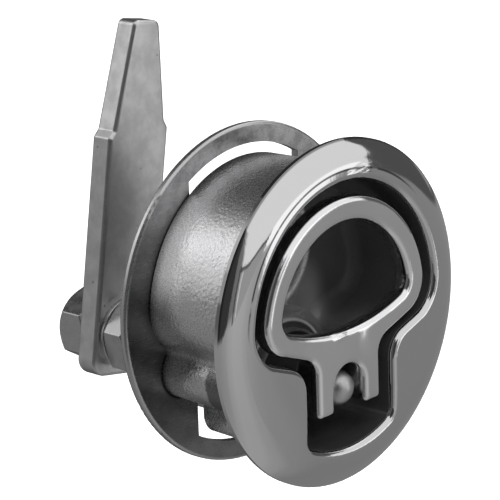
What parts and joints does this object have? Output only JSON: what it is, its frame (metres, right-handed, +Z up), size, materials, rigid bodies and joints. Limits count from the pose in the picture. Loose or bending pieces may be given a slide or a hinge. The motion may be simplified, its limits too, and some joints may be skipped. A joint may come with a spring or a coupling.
{
  "type": "locking hatch handle",
  "caption": "Flush turning hatch latch: polished round flange with a folding lift ring in a keyhole bowl, a cast cup, a backing ring and a cam arm on the shaft",
  "frame": {"origin": "middle of the flange's flat rear seat, in the plane that lies on the hatch panel", "axes": "+Z up along the flange from the shaft towards the ring, +Y into the panel from the polished face to the cam arm, +X to the right seen from the front"},
  "size_m": [0.076, 0.084, 0.0932],
  "materials": {
    "polished_steel": "polished cast stainless steel",
    "machined_steel": "satin stainless steel, machined or bead blasted",
    "bearing_plastic": "dark acetal",
    "seal_rubber": "matt black nitrile"
  },
  "bodies": {
    "housing": {"flange_body": "polished_steel", "backing_ring": "machined_steel", "ring_screw_left": "machined_steel", "ring_screw_right": "machined_steel", "front_bush": "bearing_plastic", "rear_bush": "bearing_plastic", "turning_shaft": "machined_steel", "thrust_washer": "bearing_plastic", "front_seal": "seal_rubber", "rear_seal": "seal_rubber", "tail_washer": "bearing_plastic", "wave_washer": "machined_steel", "retaining_clip": "machined_steel"},
    "handle": {"lift_handle": "polished_steel", "handle_pin": "machined_steel"},
    "arm": {"grip_bolt": "machined_steel", "lock_nut": "machined_steel", "arm_washer": "machined_steel", "cam_arm": "machined_steel"}
  },
  "joints": [
    {"name": "handle_lift", "type": "hinge", "parent": "housing", "child": "handle", "pos_m": [0, 0.001, -0.017], "axis": [1, 0, 0], "range_deg": [0, 90]},
    {"name": "arm_turn", "type": "hinge", "parent": "housing", "child": "arm", "pos_m": [0, 0.06, -0.017], "axis": [0, 1, 0], "range_deg": [-90, 90]}
  ]
}
